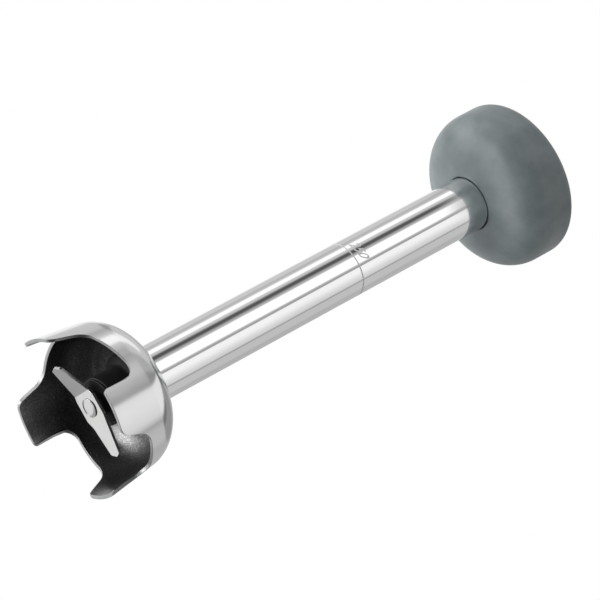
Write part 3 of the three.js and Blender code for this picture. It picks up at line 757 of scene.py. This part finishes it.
# ------------------------------------------------------------------ rubber boot
FACE_ARC, SHOULDER_ARC, RIM_ARC = 55, 24, 6
FACE_STEEPEST = deg(34)  # where the domed face passes into the shoulder
BOOT_MOUTH = 50
NECK_RADIUS, NECK_TOP = 24, 383.4


def rubber_boot():
    """A mushroom-shaped cup: domed face, rounded shoulder, short cylinder, rounded rim."""
    start, turn = deg(3.4) - TAU / 4, FACE_STEEPEST - TAU / 4
    shoulder_at = (BOOT_RADIUS - SHOULDER_ARC, 0)
    between = FACE_ARC - SHOULDER_ARC
    face_at = (shoulder_at[0] - between * math.cos(turn), -between * math.sin(turn))
    face = arc(face_at, FACE_ARC, start, turn, 24)
    shoulder = arc(shoulder_at, SHOULDER_ARC, turn, 0, 32)[1:]
    lift = BOOT_FRONT - face[0][1]
    outside = [(r, z + lift) for r, z in [*face, *shoulder]]
    rim = arc((BOOT_RADIUS - RIM_ARC, BOOT_TOP - RIM_ARC), RIM_ARC, 0, TAU / 4, 14)
    hole = TUBE_RADIUS + GAP
    lip = [(r, z) for r, z in outside if r > hole + 1.2]
    inside = [(r, z) for r, z in offset(outside, BOOT_WALL) if r > NECK_RADIUS + 2]
    mouth = rounded([
        (*rim[-1], 0), (BOOT_MOUTH, BOOT_TOP, 1.2), (BOOT_MOUTH, BOOT_TOP - 4, 1.5),
        (BOOT_RADIUS - BOOT_WALL, BOOT_TOP - 9, 2), (*inside[-1], 0),
    ], closed=False)[1:-1]
    neck = rounded([
        (*inside[0], 0), (NECK_RADIUS, inside[0][1] - 0.5, 1), (NECK_RADIUS, NECK_TOP, 1),
        (hole, NECK_TOP, 0.5), (hole, BOOT_FRONT + 0.1, 0.9), (*lip[0], 0),
    ], closed=False)[1:-1]
    outline = [*lip, *rim, *mouth, *inside[::-1], *neck]
    turned("rubber_boot", outline, slot_finish["boot_rubber"], smooth_angle=60)


rubber_boot()


# ------------------------------------------------------------------ lower bearing housing
POCKET_RADIUS, POCKET_TOP = 15.3, 45.4
HUB_RADIUS, HUB_TOP = 17.5, 47
FLARE_RADIUS, FLARE_FOOT = 23.5, 52
GROOVE_RADIUS, GROOVE_FOOT, GROOVE_TOP = 16.1, 66.1, 69.9
SHAFT_ROOM = 8


def lower_housing():
    """The black hub behind the knife, up past the O-ring groove inside the tube."""
    _, low, high = span("lower_bearing_housing")
    in_tube = TUBE_RADIUS - TUBE_WALL - GAP
    ledge = TUBE_BOTTOM - GAP
    turned("lower_bearing_housing", rounded([
        (POCKET_RADIUS, low, 0.3), (HUB_RADIUS, low, 1.2), (HUB_RADIUS, HUB_TOP, 4),
        (FLARE_RADIUS, FLARE_FOOT, 2), (FLARE_RADIUS, ledge, 0.6), (in_tube, ledge, 0),
        (in_tube, GROOVE_FOOT, 0), (GROOVE_RADIUS, GROOVE_FOOT, 0),
        (GROOVE_RADIUS, GROOVE_TOP, 0), (in_tube, GROOVE_TOP, 0), (in_tube, high, 1),
        (SHAFT_ROOM, high, 0.5), (SHAFT_ROOM, POCKET_TOP, 0.3), (POCKET_RADIUS, POCKET_TOP, 0.2),
    ]), slot_finish["housing_plastic"])


lower_housing()


# ------------------------------------------------------------------ motor coupling
COLLAR_RADIUS = 36
FLANGE_RADIUS = 37
FLANGE_BORE = 16
RECESS = TUBE_RADIUS + GAP  # the flange and the collar fit round the tube's top end
LUGS = 3
LUG_REACH = 43
LUG_WIDTH = 12
LUG_FOOT, LUG_TOP = 1.2, 4.8  # above the flange's underside
SCREW_CIRCLE = 30
SCREW_TURNS = [TAU * (i + 0.5) / 4 for i in range(4)]
SCREW_HOLE, SCREW_SEAT = 2.3, 3.7
SCREW_RADIUS, SCREW_HEAD, HEAD_HEIGHT = 2, 3.4, 2.3
HEX_SOCKET, SOCKET_DEPTH = 1.7, 1.5


def bars(radius, bottom, top, count=40):
    """One round tool at each flange screw."""
    made = []
    for turn in SCREW_TURNS:
        x, y = SCREW_CIRCLE * math.cos(turn), SCREW_CIRCLE * math.sin(turn)
        made.append(tool(*prism([(x + dx, y + dy) for dx, dy in across(radius, count)], bottom, top)))
    return made


def finished(piece, node, edge):
    """Names a tool that has become a piece, settles it for its CAD node and breaks its edges."""
    piece.name = piece.data.name = node + "_fine"
    piece.data.materials.clear()
    piece.data.materials.append(slot_finish[slot_of[node]])
    settle(piece, node, node)
    break_edges(piece, edge)


def flange():
    """The coupling's face, with three bayonet lugs and four counterbored holes."""
    _, low, high = span("coupling_flange")
    body = turned_tool([
        (RECESS, low), (FLANGE_RADIUS, low), (FLANGE_RADIUS, high), (FLANGE_BORE, high),
        (FLANGE_BORE, TUBE_TOP + GAP), (RECESS, TUBE_TOP + GAP),
    ])
    root, half = FLANGE_RADIUS - 3, LUG_WIDTH / 2
    flat = rounded([
        (root, -half, 0), (LUG_REACH, -half, 1.5), (LUG_REACH, half, 1.5), (root, half, 0)
    ])
    for i in range(LUGS):
        turn = TAU * i / LUGS
        cos, sin = math.cos(turn), math.sin(turn)
        lug = [(x * cos - y * sin, x * sin + y * cos) for x, y in flat]
        combine(body, "UNION", tool(*prism(lug, low + LUG_FOOT, low + LUG_TOP)))
    combine(body, "DIFFERENCE", *bars(SCREW_HOLE, low - 1, high + 1))
    combine(body, "DIFFERENCE", *bars(SCREW_SEAT, high - 3, high + 1))
    finished(body, "coupling_flange", 0.35)


def collar_and_gasket():
    """The two rings under the flange, drilled for its screws."""
    for node in ("tube_collar", "flange_gasket"):
        low, high = (corner.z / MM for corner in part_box(node))
        body = turned_tool([
            (RECESS, low), (COLLAR_RADIUS, low), (COLLAR_RADIUS, high), (RECESS, high)
        ])
        combine(body, "DIFFERENCE", *bars(SCREW_HOLE, low - 1, high + 1))
        finished(body, node, 0.25)


def flange_screws():
    """Socket-head screws with a small chamfer at the tip."""
    low, high = (corner.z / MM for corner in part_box("flange_screw_1"))
    seat = high - HEAD_HEIGHT
    outline = [
        (0, low), (SCREW_RADIUS - 0.3, low), (SCREW_RADIUS, low + 0.3), (SCREW_RADIUS, seat),
        (SCREW_HEAD, seat), (SCREW_HEAD, high), (0, high),
    ]
    for i, turn in enumerate(SCREW_TURNS):
        body = turned_tool(outline, 64)
        socket = tool(*prism(across(HEX_SOCKET, 6), high - SOCKET_DEPTH, high + 1))
        combine(body, "DIFFERENCE", socket)
        place = (SCREW_CIRCLE * math.cos(turn), SCREW_CIRCLE * math.sin(turn), 0)
        body.data.transform(Matrix.Translation(Vector(place) * MM))
        finished(body, f"flange_screw_{i + 1}", 0.2)


DOG_BORE, DOG_BORE_TOP = 5.3, 399.8  # the blind bore that takes the shaft
DOG_SLOT_WIDTH, DOG_SLOT_FLOOR = 6, 401
PIN_BORE, PIN_RADIUS, PIN_HEIGHT = 1.8, 1.5, 396.4


def rectangle(left, right, front, back):
    return [(left, front), (right, front), (right, back), (left, back)]


def drive_dog():
    """The slotted dog that the motor's tongue turns, and the pin across it."""
    radius, low, high = span("drive_dog")
    body = turned_tool([
        (DOG_BORE, low), (radius, low), (radius, high), (0, high),
        (0, DOG_BORE_TOP), (DOG_BORE, DOG_BORE_TOP),
    ], 128)
    half = DOG_SLOT_WIDTH / 2
    slot = tool(*prism(rectangle(-20, 20, -half, half), DOG_SLOT_FLOOR, high + 2))
    combine(body, "DIFFERENCE", slot)
    bore = tool(*prism(across(PIN_BORE), -20, 20))
    bore.data.transform(Matrix.Rotation(TAU / 4, 4, "Y"))
    bore.data.transform(Matrix.Translation((0, 0, PIN_HEIGHT * MM)))
    combine(body, "DIFFERENCE", bore)
    finished(body, "drive_dog", 0.4)
    end = span("drive_dog_pin")[0]
    points, faces = revolved(rounded([
        (0, -end, 0), (PIN_RADIUS, -end, 0.3), (PIN_RADIUS, end, 0.3), (0, end, 0)
    ]), 64)
    lying = [(z, y, x + PIN_HEIGHT) for x, y, z in points]
    add_piece("drive_dog_pin_fine", lying, faces, "drive_dog_pin", [slot_finish["spring_steel"]])


BAND_INSIDE, BAND_OUTSIDE = 24.3, 25.3
SLIT_HALF = 1.5  # half the slit between the band's ears
EAR_REACH, EAR_THICKNESS = 30.6, 1.2
CLAMP_SCREW_AT = 28.3  # the clamp screw's distance from the drive axis
CLAMP_HOLE, CLAMP_SCREW, CLAMP_HEAD, CLAMP_NUT = 1.4, 1.1, 2, 2.2


def boot_clamp():
    """The band round the boot's neck, its two ears, and the screw and nut that draw them in."""
    low, high = (corner.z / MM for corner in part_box("boot_clamp"))
    middle = (low + high) / 2
    band = turned_tool(rectangle(BAND_INSIDE, BAND_OUTSIDE, low, high))
    slit = rectangle(20, 30, -SLIT_HALF, SLIT_HALF)
    combine(band, "DIFFERENCE", tool(*prism(slit, low - 1, high + 1)))
    root = (BAND_INSIDE + BAND_OUTSIDE) / 2
    for side in (-1, 1):
        ear = rectangle(root, EAR_REACH, side * SLIT_HALF, side * (SLIT_HALF + EAR_THICKNESS))
        combine(band, "UNION", tool(*prism(ear, low, high)))

    def bar_through_ears(radius, start, end, count=40):
        made = tool(*prism(across(radius, count), start, end))
        made.data.transform(Matrix.Rotation(-TAU / 4, 4, "X"))
        made.data.transform(Matrix.Translation((CLAMP_SCREW_AT * MM, 0, middle * MM)))
        return made

    combine(band, "DIFFERENCE", bar_through_ears(CLAMP_HOLE, -6, 6))
    finished(band, "boot_clamp", 0.2)
    screw = bar_through_ears(CLAMP_SCREW, -4, 7)
    combine(screw, "UNION", bar_through_ears(CLAMP_HEAD, -4.8, -3))
    finished(screw, "clamp_screw", 0.15)
    nut = bar_through_ears(CLAMP_NUT, 3, 4.8, 6)
    combine(nut, "DIFFERENCE", bar_through_ears(CLAMP_HOLE, 0, 8))
    finished(nut, "clamp_nut", 0.15)


flange()
collar_and_gasket()
flange_screws()
drive_dog()
boot_clamp()


# ------------------------------------------------------------------ finishes of the CAD nodes
for name, item in frame["nodes"].items():
    item.data.materials.clear()
    item.data.materials.append(slot_finish[slot_of[name]])
    for polygon in item.data.polygons:
        polygon.use_smooth = True
    item.data.set_sharp_from_angle(angle=deg(32))


# ------------------------------------------------------------------ studio
# Soft boxes and flags round the object: compass bearing from +X towards +Y, half width, soft
# edge, lowest and highest elevation and brightness. Later ones lie over earlier ones.
SOFT_BOXES = {
    "left fill": (-155, 50, 6, 15, 85, 0.67),
    "left line": (-160, 3, 7, 5, 40, 0.53),
    "left strip": (-136, 6.5, 6, 10, 50, 1.2),
    "left glow": (-144, 7, 14, 48, 70, 1.1),
    "left low shade": (-178, 12, 10, 42, 46, 0.38),
    "grey column": (-50, 6, 12, 46, 85, 0.32),
    "dark flag": (-104.5, 2.5, 13, 5, 41, 0.1),
    "key": (-67, 12, 10, 5, 41, 1.4),
    "grey gap": (-40.5, 1, 4, 5, 41, 0.38),
    "top panel": (-13.5, 22, 3, 5, 42, 1.06),
    "panel fade": (16, 6, 34, 5, 42, 0.76),
    "high panel": (-11.5, 26, 2, 46, 85, 0.96),
    "right grey": (36, 15, 14, 5, 42, 0.6),
    "thin gap": (19, 1, 3.5, 5, 41, 0.38),
    "upper shade": (58, 34, 16, 46, 85, 0.34),
    "upper dark": (28, 3, 9, 46, 66, 0.17),
    "backdrop": (136, 16, 10, -75, 40, 1.0),
    "backdrop side": (97, 12, 6, -75, 20, 0.48),
    "low key": (-150, 24, 14, -36, 2, 3.2),
    "front fill": (-90, 50, 30, -70, -14, 0.2),
    "under strip": (-155, 28, 12, -62, -36, 3.4),
}
SKY = 0.5
GROUND = 0.05


def studio_light():
    """Builds the soft boxes into the world, and shows the camera a plain white backdrop."""
    world = bpy.data.worlds.new("studio")
    scene.world = world
    world.use_nodes = True
    nodes = Nodes(world.node_tree)
    direction = nodes.add("TexCoord", output=0)
    parts = world.node_tree.nodes.new("ShaderNodeSeparateXYZ")
    world.node_tree.links.new(direction, parts.inputs[0])
    x, y, z = parts.outputs
    bearing = nodes.math("ARCTAN2", y, x)
    elevation = nodes.math("ARCSINE", z)
    level = nodes.mapped(elevation, deg(-8), deg(6), GROUND, SKY, "SMOOTHSTEP")
    for centre, half, soft, low, high, brightness in SOFT_BOXES.values():
        turn = nodes.math("SUBTRACT", bearing, deg(centre))
        aside = nodes.math("ABSOLUTE", nodes.math("WRAP", turn, math.pi, -math.pi))
        mask = nodes.mapped(aside, deg(half), deg(half + soft), 1, 0, "SMOOTHSTEP")
        for edge, step in ((low, -4), (high, 3)):
            inside = nodes.mapped(elevation, deg(edge), deg(edge + step), 1, 0, "SMOOTHSTEP")
            mask = nodes.math("MULTIPLY", mask, inside)
        change = nodes.math("MULTIPLY", mask, nodes.math("SUBTRACT", brightness, level))
        level = nodes.math("ADD", level, change)
    # Past the object the camera sees plain white. Everything else sees the soft boxes.
    seen = nodes.add("LightPath", output=0)
    shown = nodes.math("MAXIMUM", level, nodes.math("MULTIPLY", seen, 9))
    shown = nodes.math("MINIMUM", shown, nodes.mapped(seen, 0, 1, 9, 1))
    background = world.node_tree.nodes["Background"]
    world.node_tree.links.new(shown, background.inputs["Color"])


# The boot's own strip light hangs under it and draws a soft crescent on its shoulder.
STRIP_LENGTH, STRIP_WIDTH = 950, 120
STRIP_CENTRE = (60, 60)
STRIP_TURN = deg(-24)
STRIP_DROP = 600
STRIP_RADIANCE = 9.5


def boot_strip():
    """A long lamp that lights the boot alone, so the polished steel does not mirror it."""
    lamp = bpy.data.lights.new("boot_strip", "AREA")
    lamp.shape = "RECTANGLE"
    lamp.size = STRIP_WIDTH * MM
    lamp.size_y = STRIP_LENGTH * MM
    lamp.energy = STRIP_RADIANCE * math.pi * lamp.size * lamp.size_y
    strip = bpy.data.objects.new("boot_strip", lamp)
    scene.collection.objects.link(strip)
    strip.location = Vector((*STRIP_CENTRE, BOOT_FRONT - STRIP_DROP)) * MM
    strip.rotation_euler = (math.pi, 0, STRIP_TURN)
    lit = bpy.data.collections.new("lit_by_boot_strip")
    lit.objects.link(bpy.data.objects["rubber_boot_fine"])
    strip.light_linking.receiver_collection = lit


def floor():
    """A pale floor under the claws, seen from above only."""
    bpy.ops.mesh.primitive_circle_add(vertices=96, radius=2.5, fill_type="NGON")
    plane = bpy.context.object
    plane.name = "floor"
    material = bpy.data.materials.new("floor")
    material.use_nodes = True
    nodes = Nodes(material.node_tree)
    shader = material.node_tree.nodes["Principled BSDF"]
    shader.inputs["Base Color"].default_value = (0.92, 0.92, 0.92, 1)
    shader.inputs["Roughness"].default_value = 0.8
    back = nodes.add("NewGeometry", output=6)
    clear = nodes.add("BsdfTransparent")
    mixed = nodes.add("MixShader", back, shader.outputs[0], clear)
    output = material.node_tree.nodes["Material Output"]
    material.node_tree.links.new(mixed, output.inputs["Surface"])
    plane.data.materials.append(material)
    plane.visible_diffuse = False
    plane.visible_glossy = False
    plane.visible_shadow = False


# The camera looks up at the foot from below the claws, rolled so the tube runs corner to corner.
VIEW_AZIMUTH = deg(35.758)
VIEW_ELEVATION = deg(-33.849)
VIEW_ROLL = deg(-61.522)
VIEW_DISTANCE = 2649.4
VIEW_AIM = (2.81, 2.03, 206.39)


def camera():
    """A long lens, so the far end stays nearly as large as the near one."""
    data = bpy.data.cameras.new("camera")
    data.lens = 231
    data.sensor_width = 36
    data.clip_end = 20
    made = bpy.data.objects.new("camera", data)
    scene.collection.objects.link(made)
    back = Vector((
        math.sin(VIEW_AZIMUTH) * math.cos(VIEW_ELEVATION),
        -math.cos(VIEW_AZIMUTH) * math.cos(VIEW_ELEVATION),
        math.sin(VIEW_ELEVATION),
    ))
    level = back.to_track_quat("Z", "Y")
    made.rotation_mode = "QUATERNION"
    made.rotation_quaternion = level @ Matrix.Rotation(-VIEW_ROLL, 3, "Z").to_quaternion()
    made.location = (Vector(VIEW_AIM) + back * VIEW_DISTANCE) * MM
    scene.camera = made


studio_light()
boot_strip()
floor()
camera()
scene.view_settings.view_transform = "Standard"
